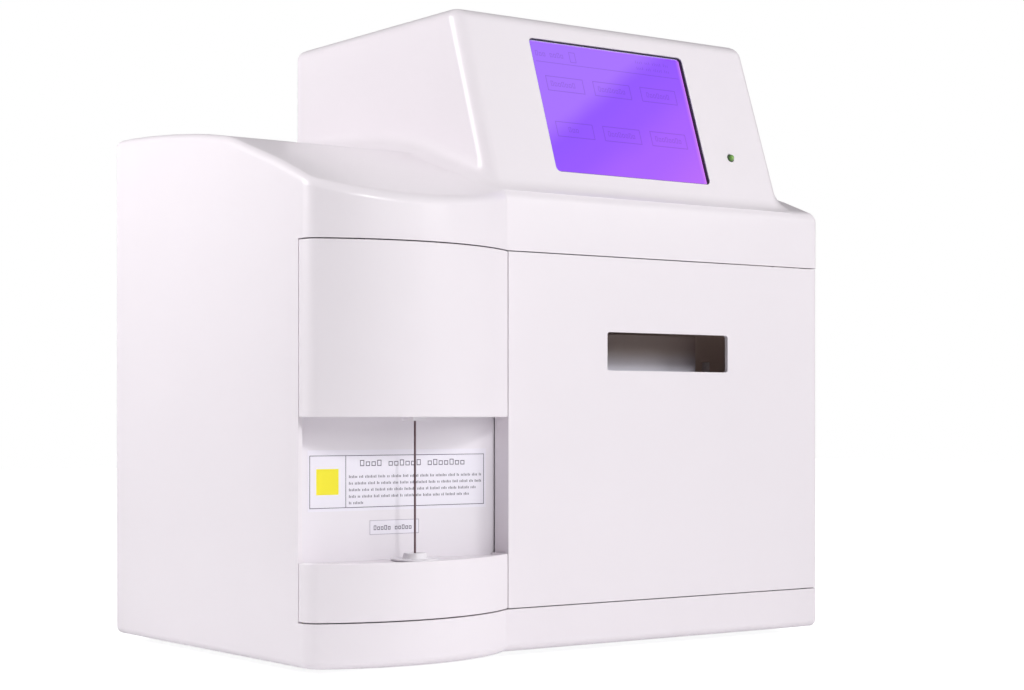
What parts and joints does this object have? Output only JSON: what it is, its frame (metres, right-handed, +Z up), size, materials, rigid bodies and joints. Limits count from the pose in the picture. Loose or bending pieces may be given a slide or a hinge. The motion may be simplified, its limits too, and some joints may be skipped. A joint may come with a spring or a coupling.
{
  "type": "electrolyte analyzer",
  "caption": "Bench-top electrolyte analyzer: white moulded case with a leaning touch display, a bulged open sample bay with a needle probe, and a hinged front door with a viewing slot.",
  "frame": {"origin": "on the bench, under the middle of the bounding box", "axes": "+Z up, -Y towards the user (front), +X to the right of someone who faces the front"},
  "size_m": [0.379, 0.25, 0.3762],
  "materials": {
    "white_shell": "satin moulded",
    "white_plastic": "matt moulded",
    "zinc_sheet": "zinc plated sheet",
    "black_rubber": "matt",
    "steel": "bright",
    "black_plastic": "matt",
    "motor_steel": "black finish",
    "circuit_board": "solder mask",
    "screen": "lit display behind a film",
    "green_lens": "lit lens",
    "electrode_plastic": "smoked clear",
    "silicone": "translucent",
    "aluminium_rotor": "turned",
    "aluminium_case": "folded sheet",
    "bottle_plastic": "translucent",
    "grey_ribbon": "flat cable"
  },
  "bodies": {
    "casing": {"housing": "white_shell", "sample_cover": "white_shell", "lower_cover": "white_shell", "bay_back_panel": "white_shell", "rear_panel": "zinc_sheet", "base_plate": "zinc_sheet", "foot_1": "black_rubber", "foot_2": "black_rubber", "foot_3": "black_rubber", "foot_4": "black_rubber", "door_frame": "zinc_sheet", "hinge_upper": "zinc_sheet", "hinge_lower": "zinc_sheet", "door_magnet": "black_plastic", "display_gasket": "black_plastic", "touch_panel": "screen", "lcd_module": "circuit_board", "status_led": "green_lens", "sampler_bracket": "zinc_sheet", "sampler_motor": "motor_steel", "guide_rod_left": "steel", "guide_rod_right": "steel", "probe_guide": "white_plastic", "wash_cup": "white_plastic", "chassis": "zinc_sheet", "electrode_block": "white_plastic", "electrode_1": "electrode_plastic", "electrode_2": "electrode_plastic", "electrode_3": "electrode_plastic", "electrode_4": "electrode_plastic", "electrode_5": "electrode_plastic", "valve_1": "steel", "valve_2": "steel", "pump_body": "white_plastic", "pump_motor": "motor_steel", "pump_tube": "silicone", "reagent_pack": "bottle_plastic", "waste_bottle": "bottle_plastic", "main_board": "circuit_board", "ribbon_cable": "grey_ribbon", "power_supply": "aluminium_case", "fan_frame": "black_plastic", "mains_inlet": "black_plastic", "switch_housing": "black_plastic", "serial_port": "steel", "rear_screw_1": "steel", "rear_screw_2": "steel", "rear_screw_3": "steel", "rear_screw_4": "steel"},
    "door": {"front_door": "white_shell", "strike_plate": "zinc_sheet", "hinge_bush_lower": "white_plastic", "hinge_bush_upper": "white_plastic"},
    "probe_arm": {"probe_carriage": "white_plastic", "probe": "steel"},
    "screw": {"lead_screw": "steel"},
    "latch": {"electrode_latch": "steel"},
    "pump_rotor_body": {"pump_rotor": "aluminium_rotor"},
    "fan_rotor_body": {"fan_rotor": "black_plastic"},
    "rocker": {"power_rocker": "black_plastic"}
  },
  "joints": [
    {"name": "door_hinge", "type": "hinge", "parent": "casing", "child": "door", "pos_m": [0.1832, -0.0938, 0.0282], "axis": [0, 0, 1], "range_deg": [0, 100]},
    {"name": "probe_slide", "type": "slide", "parent": "casing", "child": "probe_arm", "axis": [0, 0, 1], "range_m": [0, 0.08]},
    {"name": "lead_screw_spin", "type": "hinge", "parent": "casing", "child": "screw", "pos_m": [-0.1295, -0.062, 0.1398], "axis": [0, 0, 1], "range_deg": [-3600, 0]},
    {"name": "latch_pivot", "type": "hinge", "parent": "casing", "child": "latch", "pos_m": [0.108, -0.0633, 0.1058], "axis": [1, 0, 0], "range_deg": [0, 80]},
    {"name": "pump_spin", "type": "hinge", "parent": "casing", "child": "pump_rotor_body", "pos_m": [0.15, -0.0615, 0.129], "axis": [0, 1, 0], "continuous": true},
    {"name": "fan_spin", "type": "hinge", "parent": "casing", "child": "fan_rotor_body", "pos_m": [-0.06, 0.1107, 0.194], "axis": [0, 1, 0], "continuous": true},
    {"name": "rocker_pivot", "type": "hinge", "parent": "casing", "child": "rocker", "pos_m": [0.082, 0.1215, 0.1], "axis": [-1, 0, 0], "range_deg": [0, 14]}
  ],
  "couplings": [
    {"joint": "lead_screw_spin", "follows": "probe_slide", "rad_per_m": -785.4}
  ]
}
